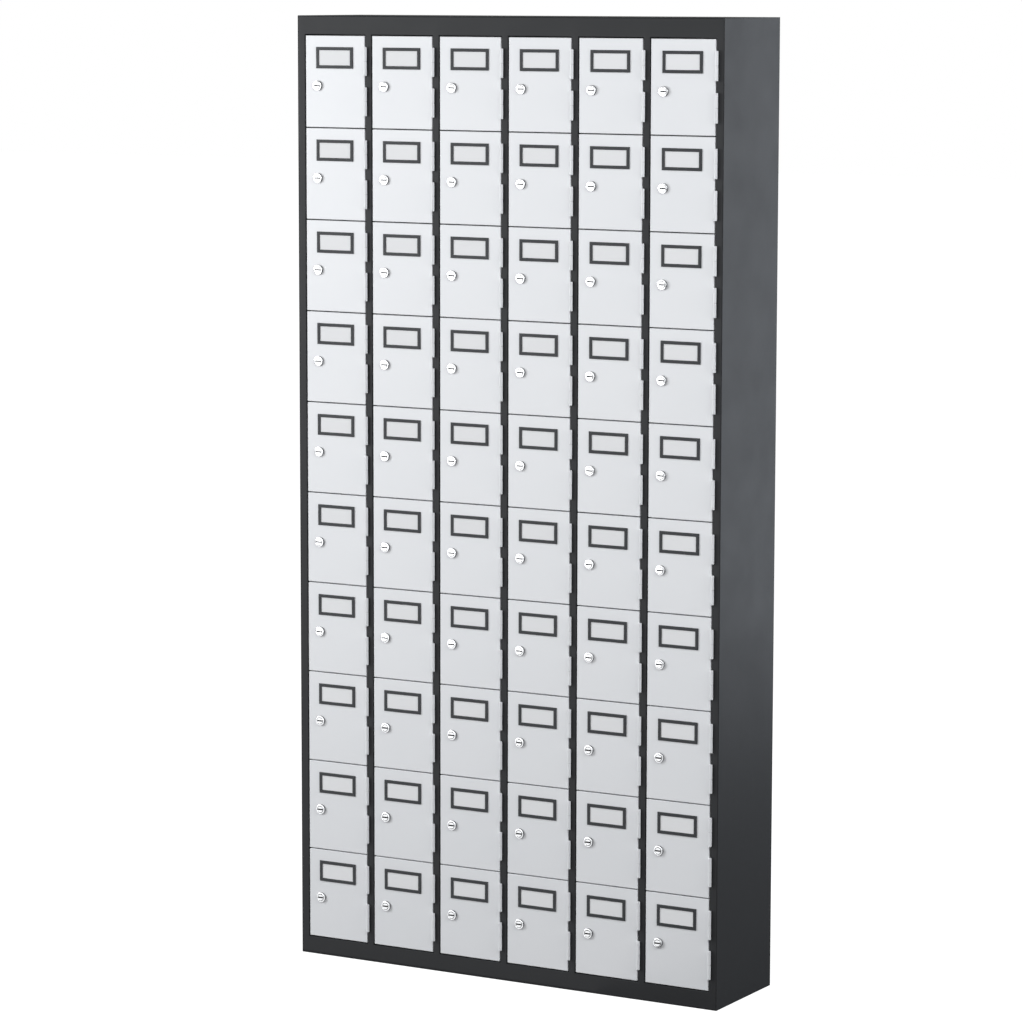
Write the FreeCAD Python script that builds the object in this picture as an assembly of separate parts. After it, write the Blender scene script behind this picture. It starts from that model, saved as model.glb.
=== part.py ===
import FreeCAD, Part

import math
import os

# Parcel locker: sixty steel compartments, six columns by ten rows, each behind its own
# hinged door with a card holder and a cam lock.
#
# Frame: +X runs to the right along the front, +Y runs from the front to the back and +Z is up.
# The origin is the centre of the base panel's underside. All sizes are in millimetres.
# Columns count from the left and rows from the top.

# ---- Carcass -------------------------------------------------------------------------------

CARCASS_WIDTH = 914.0
CARCASS_HEIGHT = 1830.0
CARCASS_DEPTH = 225.0
COLUMNS = 6
ROWS = 10

PANEL_SHEET = 0.9
FRAME_SHEET = 1.2
SHELF_SHEET = 1.0

TOP_RAIL_HEIGHT = 36.0
BOTTOM_RAIL_HEIGHT = 34.0
END_STILE_WIDTH = 16.4
MULLION_WIDTH = 14.0
FRAME_RETURN = 15.0
SHELF_CLEARANCE = 1.0

WALL_HOLE_DIAMETER = 8.0
WALL_HOLE_COLUMNS_IN = 1
WALL_HOLE_ROWS_IN = 2

# ---- Door ----------------------------------------------------------------------------------

DOOR_SHEET = 1.0
DOOR_FLANGE = 14.0
DOOR_BEND_RADIUS = 0.9
DOOR_GAP_ABOVE = 2.0
SWING_CLEARANCE = 0.85

# ---- Hinge: a lift-off pair, the frame's half below and the door's half above -------------------

PIN_DIAMETER = 4.5
PIN_RUNNING_CLEARANCE = 0.05
PIN_END_CLEARANCE = 1.0
PIN_TIP_CHAMFER = 0.6
KNUCKLE_WALL = 1.05
KNUCKLE_SEAM = 0.5
KNUCKLE_CAP = 2.0
KNUCKLE_STAND_OFF = 0.4
LEAF_SHEET = 1.0
LEAF_SETBACK = 2.0
LEAF_CLEARANCE = 0.2
HINGE_MARGIN_ABOVE = 20.75
HINGE_MARGIN_BELOW = 22.75
HINGE_SPACE = 21.3

# ---- Card holder --------------------------------------------------------------------------------

CARD_HOLDER_WIDTH = 82.0
CARD_HOLDER_HEIGHT = 40.5
CARD_HOLDER_BAND = 6.0
CARD_HOLDER_THICKNESS = 1.8
CARD_HOLDER_OFF_CENTRE = 1.0
CARD_HOLDER_DROP = 21.5
CARD_LAP = 3.5
CARD_THICKNESS = 0.5
CARD_CLEARANCE = 0.3
CARD_POCKET_CLEARANCE = 0.1

# ---- Cam lock -----------------------------------------------------------------------------------

LOCK_LEFT = 27.0
LOCK_DROP = 95.0
LOCK_FLANGE_LIP = 1.5
LOCK_FLANGE_THICKNESS = 4.0
LOCK_FLANGE_ROUND = 1.2
LOCK_BODY_DIAMETER = 16.0
LOCK_BODY_FLATS = 14.0
LOCK_HOLE_CLEARANCE = 0.1
NUT_WALL = 2.0
NUT_THICKNESS = 3.0
PLUG_DIAMETER = 12.4
PLUG_RUNNING_CLEARANCE = 0.05
PLUG_PROUD = 0.5
PLUG_END_PLAY = 0.4
PLUG_SQUARE = 6.0
KEY_SLOT_LENGTH = 10.6
KEY_SLOT_WIDTH = 2.0
KEY_SLOT_DEPTH = 6.0
CAM_THICKNESS = 2.0
CAM_WIDTH = 14.0
CAM_ENGAGEMENT = 4.0
CAM_CLEARANCE = 1.0
SCREW_DIAMETER = 3.5
SCREW_LENGTH = 8.0
SCREW_HEAD_DIAMETER = 8.5
SCREW_HEAD_HEIGHT = 2.2

# The door that is broken down into its own pieces, with a lock that turns, and the rows whose
# doors each swing alone. The doors of the other rows swing together, column by column.
DETAILED_COLUMN = 3
DETAILED_ROW = 5
FIRST_SINGLE_ROW = 3
LAST_SINGLE_ROW = 8

# ---- Sizes that follow ----------------------------------------------------------------------------

FRONT = -CARCASS_DEPTH / 2
BACK = CARCASS_DEPTH / 2
LEFT = -CARCASS_WIDTH / 2
RIGHT = CARCASS_WIDTH / 2

OPENING_WIDTH = (CARCASS_WIDTH - 2 * END_STILE_WIDTH - (COLUMNS - 1) * MULLION_WIDTH) / COLUMNS
COLUMN_PITCH = OPENING_WIDTH + MULLION_WIDTH
SILL = BOTTOM_RAIL_HEIGHT
LINTEL = CARCASS_HEIGHT - TOP_RAIL_HEIGHT
DOOR_HEIGHT = (LINTEL - SILL - (ROWS + 1) * DOOR_GAP_ABOVE) / ROWS
ROW_PITCH = DOOR_HEIGHT + DOOR_GAP_ABOVE

BORE_RADIUS = PIN_DIAMETER / 2 + PIN_RUNNING_CLEARANCE
KNUCKLE_RADIUS = BORE_RADIUS + KNUCKLE_WALL
HINGE_GAP = LEAF_SHEET + LEAF_CLEARANCE
AXIS_FORWARD = KNUCKLE_RADIUS + KNUCKLE_STAND_OFF

# The free edge's back corner swings on a circle about the hinge, and that circle passes the
# stile with the swing clearance. It sets how wide the door may be.
SWING_RADIUS = OPENING_WIDTH - HINGE_GAP + KNUCKLE_RADIUS - SWING_CLEARANCE
DOOR_WIDTH = math.sqrt(SWING_RADIUS**2 - (AXIS_FORWARD + DOOR_FLANGE) ** 2) - KNUCKLE_RADIUS
FREE_GAP = OPENING_WIDTH - HINGE_GAP - DOOR_WIDTH

SHELF_FRONT = max(DOOR_FLANGE, FRAME_RETURN) + SHELF_CLEARANCE
LEAF_DEPTH = min(DOOR_FLANGE, FRAME_RETURN) - LEAF_SETBACK
HINGE_LENGTH = (DOOR_HEIGHT - HINGE_MARGIN_ABOVE - HINGE_MARGIN_BELOW - HINGE_SPACE) / 2
KNUCKLE_LENGTH = (HINGE_LENGTH - KNUCKLE_SEAM) / 2

CARD_HOLDER_LEFT = (DOOR_WIDTH - CARD_HOLDER_WIDTH) / 2 - CARD_HOLDER_OFF_CENTRE
CAM_FRONT = FRAME_RETURN + CAM_CLEARANCE
CAM_REACH = LOCK_LEFT + FREE_GAP + CAM_ENGAGEMENT

Y_AXIS = FreeCAD.Vector(0, 1, 0)
Z_AXIS = FreeCAD.Vector(0, 0, 1)


# ---- Shapes that repeat ---------------------------------------------------------------------------


def block(x0, x1, y0, y1, z0, z1):
    """A box between two values on each axis."""
    return Part.makeBox(x1 - x0, y1 - y0, z1 - z0, FreeCAD.Vector(x0, y0, z0))


def rod(diameter, x, y, z, axis, length):
    """A round bar that starts at a point and runs along an axis."""
    return Part.makeCylinder(diameter / 2, length, FreeCAD.Vector(x, y, z), axis)


def channel(x0, x1, z0, z1, across):
    """A folded channel of the front frame, with its web in front and its returns to the back.

    The returns stand on the two sides that lie along the axis named in across, "x" or "z".
    """
    outer = block(x0, x1, FRONT, FRONT + FRAME_RETURN, z0, z1)
    side = FRAME_SHEET if across == "x" else 0.0
    top = FRAME_SHEET if across == "z" else 0.0
    hollow = block(
        x0 + side, x1 - side, FRONT + FRAME_SHEET, FRONT + FRAME_RETURN, z0 + top, z1 - top
    )
    return outer.cut(hollow)


def mullion_centre(index):
    """X of the middle of a mullion, where mullion 1 stands right of column 1."""
    return LEFT + END_STILE_WIDTH + index * COLUMN_PITCH - MULLION_WIDTH / 2


def door_left(column):
    """X of the free edge of the doors in a column."""
    return LEFT + END_STILE_WIDTH + (column - 1) * COLUMN_PITCH + FREE_GAP


def door_top(row):
    """Z of the top edge of the doors in a row."""
    return LINTEL - DOOR_GAP_ABOVE - (row - 1) * ROW_PITCH


def shelf_middle(level):
    """Z of the middle of a shelf, where shelf 1 is under row 1."""
    return door_top(level) - DOOR_HEIGHT - DOOR_GAP_ABOVE / 2


# ---- Carcass --------------------------------------------------------------------------------------


def base_panel():
    return block(LEFT, RIGHT, FRONT, BACK, 0, PANEL_SHEET)


def top_panel():
    return block(LEFT, RIGHT, FRONT, BACK, CARCASS_HEIGHT - PANEL_SHEET, CARCASS_HEIGHT)


def side_panels():
    """Left and right side sheets, between the base panel and the top panel."""
    z0 = PANEL_SHEET
    z1 = CARCASS_HEIGHT - PANEL_SHEET
    left = block(LEFT, LEFT + PANEL_SHEET, FRONT, BACK, z0, z1)
    right = block(RIGHT - PANEL_SHEET, RIGHT, FRONT, BACK, z0, z1)
    return [left, right]


def back_panel():
    """The back sheet, with four holes that fix the locker to a wall."""
    sheet = block(
        LEFT + PANEL_SHEET,
        RIGHT - PANEL_SHEET,
        BACK - PANEL_SHEET,
        BACK,
        PANEL_SHEET,
        CARCASS_HEIGHT - PANEL_SHEET,
    )
    for column in (WALL_HOLE_COLUMNS_IN, COLUMNS + 1 - WALL_HOLE_COLUMNS_IN):
        for row in (WALL_HOLE_ROWS_IN, ROWS + 1 - WALL_HOLE_ROWS_IN):
            x = LEFT + END_STILE_WIDTH + (column - 0.5) * COLUMN_PITCH - MULLION_WIDTH / 2
            z = door_top(row) - DOOR_HEIGHT / 2
            sheet = sheet.cut(
                rod(WALL_HOLE_DIAMETER, x, BACK - 2 * PANEL_SHEET, z, Y_AXIS, 3 * PANEL_SHEET)
            )
    return sheet


def frame_rails():
    """The rails above and below the doors, inside the side, top and base panels."""
    x0 = LEFT + PANEL_SHEET
    x1 = RIGHT - PANEL_SHEET
    upper = channel(x0, x1, LINTEL, CARCASS_HEIGHT - PANEL_SHEET, "z")
    lower = channel(x0, x1, PANEL_SHEET, SILL, "z")
    return [upper, lower]


def frame_stiles():
    """The two end stiles and the mullions between the columns, from rail to rail."""
    left = channel(LEFT + PANEL_SHEET, LEFT + END_STILE_WIDTH, SILL, LINTEL, "x")
    right = channel(RIGHT - END_STILE_WIDTH, RIGHT - PANEL_SHEET, SILL, LINTEL, "x")
    stiles = [left, right]
    for index in range(1, COLUMNS):
        middle = mullion_centre(index)
        half = MULLION_WIDTH / 2
        stiles.append(channel(middle - half, middle + half, SILL, LINTEL, "x"))
    return stiles


def partitions():
    """Upright sheets behind the mullions, notched around the two rails."""
    sheets = []
    for index in range(1, COLUMNS):
        x0 = mullion_centre(index) - PANEL_SHEET / 2
        x1 = x0 + PANEL_SHEET
        sheet = block(
            x0,
            x1,
            FRONT + FRAME_SHEET,
            BACK - PANEL_SHEET,
            PANEL_SHEET,
            CARCASS_HEIGHT - PANEL_SHEET,
        )
        below = block(x0, x1, FRONT, FRONT + FRAME_RETURN, 0, SILL)
        above = block(x0, x1, FRONT, FRONT + FRAME_RETURN, LINTEL, CARCASS_HEIGHT)
        sheets.append(sheet.cut(below).cut(above))
    return sheets


def shelves():
    """A flat shelf under every compartment, from wall to wall of its column.

    The lowest one in each column is its floor, level with the top of the bottom rail.
    """
    front = FRONT + SHELF_FRONT
    back = BACK - PANEL_SHEET
    sheets = []
    for column in range(1, COLUMNS + 1):
        x0 = LEFT + PANEL_SHEET
        if column > 1:
            x0 = mullion_centre(column - 1) + PANEL_SHEET / 2
        x1 = RIGHT - PANEL_SHEET
        if column < COLUMNS:
            x1 = mullion_centre(column) - PANEL_SHEET / 2
        for level in range(1, ROWS + 1):
            z0 = shelf_middle(level) - SHELF_SHEET / 2
            if level == ROWS:
                z0 = SILL - SHELF_SHEET
            sheets.append(block(x0, x1, front, back, z0, z0 + SHELF_SHEET))
    return sheets


# ---- Hinges ---------------------------------------------------------------------------------------


def hinge_seams(column, row):
    """Where the two hinges of a door part: points on its axis, midway between the halves."""
    x = door_left(column) + DOOR_WIDTH + KNUCKLE_RADIUS
    y = FRONT - AXIS_FORWARD
    top = door_top(row)
    return [
        FreeCAD.Vector(x, y, top - HINGE_MARGIN_ABOVE - HINGE_LENGTH / 2),
        FreeCAD.Vector(x, y, top - DOOR_HEIGHT + HINGE_MARGIN_BELOW + HINGE_LENGTH / 2),
    ]


def frame_hinge_half(seam):
    """The lower half: its knuckle grips the pin, and its leaf is welded to the stile."""
    z1 = seam.z - KNUCKLE_SEAM / 2
    z0 = z1 - KNUCKLE_LENGTH
    knuckle = rod(2 * KNUCKLE_RADIUS, seam.x, seam.y, z0, Z_AXIS, KNUCKLE_LENGTH)
    edge = seam.x - KNUCKLE_RADIUS + LEAF_CLEARANCE
    leaf = block(edge, edge + LEAF_SHEET, seam.y, FRONT + LEAF_DEPTH, z0, z1)
    bore = rod(PIN_DIAMETER, seam.x, seam.y, z0, Z_AXIS, KNUCKLE_LENGTH)
    return knuckle.fuse(leaf).cut(bore)


def hinge_pin(seam):
    """The pin: pressed into the lower knuckle, it stands up into the upper one."""
    z0 = seam.z - KNUCKLE_SEAM / 2 - KNUCKLE_LENGTH
    z1 = seam.z + KNUCKLE_SEAM / 2 + KNUCKLE_LENGTH - KNUCKLE_CAP - PIN_END_CLEARANCE
    pin = rod(PIN_DIAMETER, seam.x, seam.y, z0, Z_AXIS, z1 - z0)
    tip = [edge for edge in pin.Edges if edge.BoundBox.ZMin > z1 - PIN_TIP_CHAMFER]
    return pin.makeChamfer(PIN_TIP_CHAMFER, tip)


def door_hinge_half(seam):
    """The upper half: a capped knuckle that turns on the pin, with its leaf on the door."""
    z0 = seam.z + KNUCKLE_SEAM / 2
    z1 = z0 + KNUCKLE_LENGTH
    knuckle = rod(2 * KNUCKLE_RADIUS, seam.x, seam.y, z0, Z_AXIS, KNUCKLE_LENGTH)
    edge = seam.x - KNUCKLE_RADIUS
    leaf = block(edge, edge + LEAF_SHEET, seam.y, FRONT + LEAF_DEPTH, z0, z1)
    bore = rod(2 * BORE_RADIUS, seam.x, seam.y, z0, Z_AXIS, KNUCKLE_LENGTH - KNUCKLE_CAP)
    return knuckle.fuse(leaf).cut(bore)


# ---- Door pieces, each in its place on the door of a given column and row -----------------------------


def lock_bar(diameter, column, row, start, length):
    """A round bar on the lock's axis, measured back from the door's face."""
    x = door_left(column) + LOCK_LEFT
    z = door_top(row) - LOCK_DROP
    return rod(diameter, x, FRONT + start, z, Y_AXIS, length)


def lock_block(width, height, column, row, start, length):
    """A rectangular bar on the lock's axis, measured back from the door's face."""
    x = door_left(column) + LOCK_LEFT
    z = door_top(row) - LOCK_DROP
    y = FRONT + start
    return block(x - width / 2, x + width / 2, y, y + length, z - height / 2, z + height / 2)


def door_panel(column, row):
    """A folded pan: a face with four flanges and a hole with two flats for the lock."""
    x0 = door_left(column)
    x1 = x0 + DOOR_WIDTH
    z1 = door_top(row)
    z0 = z1 - DOOR_HEIGHT
    outer = block(x0, x1, FRONT, FRONT + DOOR_FLANGE, z0, z1)
    bends = [edge for edge in outer.Edges if edge.BoundBox.YMax < FRONT + DOOR_SHEET]
    outer = outer.makeFillet(DOOR_BEND_RADIUS, bends)
    hollow = block(
        x0 + DOOR_SHEET,
        x1 - DOOR_SHEET,
        FRONT + DOOR_SHEET,
        FRONT + DOOR_FLANGE,
        z0 + DOOR_SHEET,
        z1 - DOOR_SHEET,
    )
    gap = 2 * LOCK_HOLE_CLEARANCE
    round_hole = lock_bar(LOCK_BODY_DIAMETER + gap, column, row, -DOOR_SHEET, 3 * DOOR_SHEET)
    flats = lock_block(
        LOCK_BODY_DIAMETER + gap, LOCK_BODY_FLATS + gap, column, row, -DOOR_SHEET, 3 * DOOR_SHEET
    )
    return outer.cut(hollow).cut(round_hole.common(flats))


def card_holder(column, row):
    """A flat frame on the door's face, with a shallow pocket behind it for the card."""
    x0 = door_left(column) + CARD_HOLDER_LEFT
    x1 = x0 + CARD_HOLDER_WIDTH
    z1 = door_top(row) - CARD_HOLDER_DROP
    z0 = z1 - CARD_HOLDER_HEIGHT
    frame = block(x0, x1, FRONT - CARD_HOLDER_THICKNESS, FRONT, z0, z1)
    band = CARD_HOLDER_BAND
    window = block(
        x0 + band, x1 - band, FRONT - CARD_HOLDER_THICKNESS, FRONT, z0 + band, z1 - band
    )
    rim = CARD_HOLDER_BAND - CARD_LAP - CARD_CLEARANCE
    depth = CARD_THICKNESS + CARD_POCKET_CLEARANCE
    pocket = block(x0 + rim, x1 - rim, FRONT - depth, FRONT, z0 + rim, z1 - rim)
    return frame.cut(window).cut(pocket)


def card_insert(column, row):
    """The blank card, which lies on the door's face inside the holder's pocket."""
    rim = CARD_HOLDER_BAND - CARD_LAP
    x0 = door_left(column) + CARD_HOLDER_LEFT + rim
    x1 = x0 + CARD_HOLDER_WIDTH - 2 * rim
    z1 = door_top(row) - CARD_HOLDER_DROP - rim
    z0 = z1 - CARD_HOLDER_HEIGHT + 2 * rim
    return block(x0, x1, FRONT - CARD_THICKNESS, FRONT, z0, z1)


def lock_housing(column, row):
    """A flanged barrel with two flats, bored for the plug."""
    flange = lock_bar(
        LOCK_BODY_DIAMETER + 2 * LOCK_FLANGE_LIP,
        column,
        row,
        -LOCK_FLANGE_THICKNESS,
        LOCK_FLANGE_THICKNESS,
    )
    rim = [edge for edge in flange.Edges if edge.BoundBox.YMax < FRONT - LOCK_FLANGE_THICKNESS / 2]
    flange = flange.makeFillet(LOCK_FLANGE_ROUND, rim)
    length = CAM_FRONT - PLUG_END_PLAY
    barrel = lock_bar(LOCK_BODY_DIAMETER, column, row, 0, length)
    flats = lock_block(LOCK_BODY_DIAMETER, LOCK_BODY_FLATS, column, row, 0, length)
    bore = lock_bar(
        PLUG_DIAMETER + 2 * PLUG_RUNNING_CLEARANCE,
        column,
        row,
        -LOCK_FLANGE_THICKNESS,
        LOCK_FLANGE_THICKNESS + length,
    )
    return flange.fuse(barrel.common(flats)).cut(bore)


def lock_nut(column, row):
    """A six-sided nut that clamps the housing to the inside of the door."""
    radius = (LOCK_BODY_DIAMETER / 2 + NUT_WALL) / math.cos(math.pi / 6)
    x = door_left(column) + LOCK_LEFT
    z = door_top(row) - LOCK_DROP
    corners = []
    for side in range(7):
        turn = side * math.pi / 3
        corners.append(
            FreeCAD.Vector(x + radius * math.cos(turn), FRONT + DOOR_SHEET, z + radius * math.sin(turn))
        )
    hexagon = Part.Face(Part.makePolygon(corners))
    nut = hexagon.extrude(FreeCAD.Vector(0, NUT_THICKNESS, 0))
    return nut.cut(lock_bar(LOCK_BODY_DIAMETER, column, row, DOOR_SHEET, NUT_THICKNESS))


def lock_plug(column, row):
    """The plug that the key turns: a level key slot in front, a square end for the cam behind."""
    start = -LOCK_FLANGE_THICKNESS - PLUG_PROUD
    barrel = lock_bar(PLUG_DIAMETER, column, row, start, CAM_FRONT - start)
    square = lock_block(PLUG_SQUARE, PLUG_SQUARE, column, row, CAM_FRONT, CAM_THICKNESS)
    slot = lock_block(KEY_SLOT_LENGTH, KEY_SLOT_WIDTH, column, row, start, KEY_SLOT_DEPTH)
    thread = lock_bar(
        SCREW_DIAMETER, column, row, CAM_FRONT + CAM_THICKNESS - SCREW_LENGTH, SCREW_LENGTH
    )
    return barrel.fuse(square).cut(slot).cut(thread)


def lock_cam(column, row):
    """The cam hangs down and leaves the door free; a quarter turn puts it behind the stile."""
    x = door_left(column) + LOCK_LEFT
    z = door_top(row) - LOCK_DROP
    y0 = FRONT + CAM_FRONT
    y1 = y0 + CAM_THICKNESS
    arm = block(x - CAM_WIDTH / 2, x + CAM_WIDTH / 2, y0, y1, z - CAM_REACH, z)
    boss = lock_bar(CAM_WIDTH, column, row, CAM_FRONT, CAM_THICKNESS)
    square = lock_block(PLUG_SQUARE, PLUG_SQUARE, column, row, CAM_FRONT, CAM_THICKNESS)
    return arm.fuse(boss).removeSplitter().cut(square)


def cam_screw(column, row):
    """The screw that holds the cam on the plug."""
    back = CAM_FRONT + CAM_THICKNESS
    shank = lock_bar(SCREW_DIAMETER, column, row, back - SCREW_LENGTH, SCREW_LENGTH)
    head = lock_bar(SCREW_HEAD_DIAMETER, column, row, back, SCREW_HEAD_HEIGHT)
    return shank.fuse(head)


def fixed_door_pieces(column, row):
    """The pieces of one door that move with its panel, by node name."""
    return {
        "door_panel": [door_panel(column, row)],
        "card_holder": [card_holder(column, row)],
        "card_insert": [card_insert(column, row)],
        "lock_housing": [lock_housing(column, row)],
        "lock_nut": [lock_nut(column, row)],
        "door_hinge_halves": [door_hinge_half(seam) for seam in hinge_seams(column, row)],
    }


def turning_lock_pieces(column, row):
    """The pieces of one lock that turn with the key, by node name."""
    return {
        "lock_plug": [lock_plug(column, row)],
        "lock_cam": [lock_cam(column, row)],
        "cam_screw": [cam_screw(column, row)],
    }


def whole_door(pattern, column, row):
    """All the solids of one door, copied from the pattern door to its column and row."""
    across = (column - DETAILED_COLUMN) * COLUMN_PITCH
    down = (row - DETAILED_ROW) * ROW_PITCH
    return [solid.translated(FreeCAD.Vector(across, 0, -down)) for solid in pattern]


# ---- Nodes ----------------------------------------------------------------------------------------


def all_nodes():
    """Every node's name and its solids."""
    columns = range(1, COLUMNS + 1)
    rows = range(1, ROWS + 1)
    single_rows = range(FIRST_SINGLE_ROW, LAST_SINGLE_ROW + 1)
    seams = [seam for column in columns for row in rows for seam in hinge_seams(column, row)]
    nodes = {
        "base_panel": [base_panel()],
        "top_panel": [top_panel()],
        "side_panels": side_panels(),
        "back_panel": [back_panel()],
        "frame_rails": frame_rails(),
        "frame_stiles": frame_stiles(),
        "partitions": partitions(),
        "shelves": shelves(),
        "frame_hinge_halves": [frame_hinge_half(seam) for seam in seams],
        "hinge_pins": [hinge_pin(seam) for seam in seams],
    }
    pieces = fixed_door_pieces(DETAILED_COLUMN, DETAILED_ROW)
    pieces.update(turning_lock_pieces(DETAILED_COLUMN, DETAILED_ROW))
    nodes.update(pieces)
    pattern = [solid for solids in pieces.values() for solid in solids]
    for column in columns:
        for row in single_rows:
            if (column, row) != (DETAILED_COLUMN, DETAILED_ROW):
                nodes[f"door_c{column}_r{row}"] = whole_door(pattern, column, row)
        nodes[f"end_doors_c{column}"] = [
            solid
            for row in rows
            if row not in single_rows
            for solid in whole_door(pattern, column, row)
        ]
    return nodes


def export(nodes):
    """Write one STEP file per node."""
    os.makedirs("parts", exist_ok=True)
    for name, solids in nodes.items():
        shape = solids[0] if len(solids) == 1 else Part.makeCompound(solids)
        shape.exportStep(f"parts/{name}.step")


export(all_nodes())
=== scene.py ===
"""Looks for a sixty-door steel parcel locker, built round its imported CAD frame.

Every mesh is in metres in the frame's own axes: +X runs to the right along the front, +Y from the
front to the back and +Z up. One pattern door, in column 3 and row 5, is modelled in full; the other
doors are copies of it, moved to the places that the frame gives.
"""

import logging
import math
from dataclasses import dataclass, field
from enum import Enum
from functools import cached_property
from typing import Callable, Iterable, Sequence

import bmesh
import bpy
from bmesh.types import BMEdge, BMesh, BMFace, BMVert
from mathutils import Matrix, Vector


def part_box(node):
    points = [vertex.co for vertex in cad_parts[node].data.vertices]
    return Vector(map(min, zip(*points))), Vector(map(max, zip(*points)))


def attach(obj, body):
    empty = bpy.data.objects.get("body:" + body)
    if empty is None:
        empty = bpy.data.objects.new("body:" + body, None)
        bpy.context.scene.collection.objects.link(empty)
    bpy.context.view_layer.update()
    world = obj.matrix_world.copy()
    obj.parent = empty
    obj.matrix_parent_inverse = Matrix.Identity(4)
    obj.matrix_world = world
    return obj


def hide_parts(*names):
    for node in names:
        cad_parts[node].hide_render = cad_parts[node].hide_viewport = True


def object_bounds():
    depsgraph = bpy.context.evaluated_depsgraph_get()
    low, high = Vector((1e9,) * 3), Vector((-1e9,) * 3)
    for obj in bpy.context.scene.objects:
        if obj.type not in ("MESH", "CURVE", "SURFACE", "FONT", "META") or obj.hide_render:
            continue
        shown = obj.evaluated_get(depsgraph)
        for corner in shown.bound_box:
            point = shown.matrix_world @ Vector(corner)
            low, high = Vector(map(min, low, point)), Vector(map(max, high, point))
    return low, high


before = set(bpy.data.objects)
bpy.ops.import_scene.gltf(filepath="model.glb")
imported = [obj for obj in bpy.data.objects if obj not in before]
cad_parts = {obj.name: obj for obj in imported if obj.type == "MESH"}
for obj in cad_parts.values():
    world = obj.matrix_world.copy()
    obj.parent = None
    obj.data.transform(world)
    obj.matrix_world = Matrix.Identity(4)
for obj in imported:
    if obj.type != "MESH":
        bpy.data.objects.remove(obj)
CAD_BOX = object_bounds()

MM = 0.001
QUARTER = math.pi / 2
UP = Vector((0.0, 0.0, 1.0))
RIGHT = Vector((1.0, 0.0, 0.0))
INWARD = Vector((0.0, 1.0, 0.0))

MERGE = 0.005 * MM  # vertices nearer than this are one
SAME = 1e-6  # places nearer than this, in metres, are level with each other
SQUARE_ON = 0.999  # the least cosine between a direction and the normal of a face that looks along it
CORNER = 1.0  # an edge that bends by more than this, in radians, is a corner

WEAR_AND_SHADE = "wear_and_shade"  # the vertex attribute that says where paint is rubbed and where painted shade darkens the chrome

# A Mix node's sockets go by number, because its kinds share their names.
MIX_FACTOR = 0
MIX_NUMBERS = (2, 3)
MIX_COLOURS = (6, 7)
MIXED_NUMBER = 0
MIXED_COLOUR = 2

log = logging.getLogger("locker")


class Slot(Enum):
    """Material slots of the record."""

    CARCASS = "carcass_paint"
    DOOR = "door_paint"
    HOLDER = "holder_plastic"
    CARD = "card"
    CHROME = "lock_chrome"
    STEEL = "plated_steel"


class Side(Enum):
    """The two ends of the locker, by the sign of X."""

    LEFT = -1
    RIGHT = 1


# ---- Mesh helpers ---------------------------------------------------------------------------------


def slab(bm: BMesh, low: Vector, high: Vector) -> list[BMVert]:
    """Add a box between two corners.

    Args:
        bm: The mesh that takes it.
        low: Its lowest corner.
        high: Its highest corner.

    Returns:
        The box's eight vertices.
    """
    size = Vector(high) - Vector(low)
    place = Matrix.Translation((Vector(low) + Vector(high)) / 2) @ Matrix.Diagonal((*size, 1.0))
    return bmesh.ops.create_cube(bm, size=1.0, matrix=place)["verts"]


def upright(place: Vector) -> Matrix:
    """The matrix that stands a flat shape up at a place, parallel to the front."""
    return Matrix.Translation(place) @ Matrix.Rotation(QUARTER, 4, "X")


def edges_among(verts: Iterable[BMVert]) -> list[BMEdge]:
    """The edges whose two ends are both among some vertices, in the vertices' order."""
    chosen = dict.fromkeys(verts)
    return list(dict.fromkeys(e for v in chosen for e in v.link_edges if e.other_vert(v) in chosen))


def of_kind(geom: Iterable, kind: type) -> list:
    """Those of some vertices, edges and faces that are of one kind."""
    return [g for g in geom if isinstance(g, kind)]


def soften(bm: BMesh, edges: Iterable[BMEdge], radius: float, segments: int = 2) -> None:
    """Round some edges.

    Args:
        bm: The mesh they are in.
        edges: The edges to round.
        radius: The radius, in metres.
        segments: How many faces stand for the round.
    """
    bmesh.ops.bevel(
        bm,
        geom=list(edges),
        offset=radius,
        offset_type="OFFSET",
        affect="EDGES",
        segments=segments,
        profile=0.5,
        material=-1,
        clamp_overlap=True,
    )


def turn(
    bm: BMesh,
    outline: Sequence[tuple[float, float]],
    centre: Vector,
    axis: Vector,
    across: Vector,
    steps: int,
) -> list[BMVert]:
    """Spin an outline round an axis, as on a lathe.

    Args:
        bm: The mesh that takes it.
        outline: Points as (radius, distance along the axis), in metres. The solid is closed if they
            start and end on the axis, or if the last point repeats the first.
        centre: The axis's zero point.
        axis: The axis's direction.
        across: A direction at right angles to it.
        steps: How many faces go round.

    Returns:
        The vertices of the turned shape.
    """
    before = set(bm.verts)
    points = [bm.verts.new(centre + across * r + axis * a) for r, a in outline]
    lines = [bm.edges.new(pair) for pair in zip(points, points[1:])]
    bmesh.ops.spin(
        bm,
        geom=points + lines,
        cent=centre,
        axis=axis,
        dvec=(0.0, 0.0, 0.0),
        angle=2 * math.pi,
        steps=steps,
        use_merge=True,
        use_duplicate=False,
    )
    made = [v for v in bm.verts if v not in before]
    bmesh.ops.remove_doubles(bm, verts=made, dist=2 * MERGE)
    return [v for v in bm.verts if v not in before]


def cut_lines(bm: BMesh, faces: Iterable[BMFace], points: Iterable[Vector], normal: Vector) -> None:
    """Cut faces along planes.

    Args:
        bm: The mesh they are in.
        faces: The faces that are cut.
        points: A point on each plane.
        normal: The planes' common normal.
    """
    live = list(faces)
    for point in points:
        edges = dict.fromkeys(e for f in live for e in f.edges)
        verts = dict.fromkeys(v for f in live for v in f.verts)
        parts = [*live, *edges, *verts]
        made = bmesh.ops.bisect_plane(bm, geom=parts, dist=SAME / 10, plane_co=point, plane_no=normal)
        live = of_kind(made["geom"], BMFace)


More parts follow.
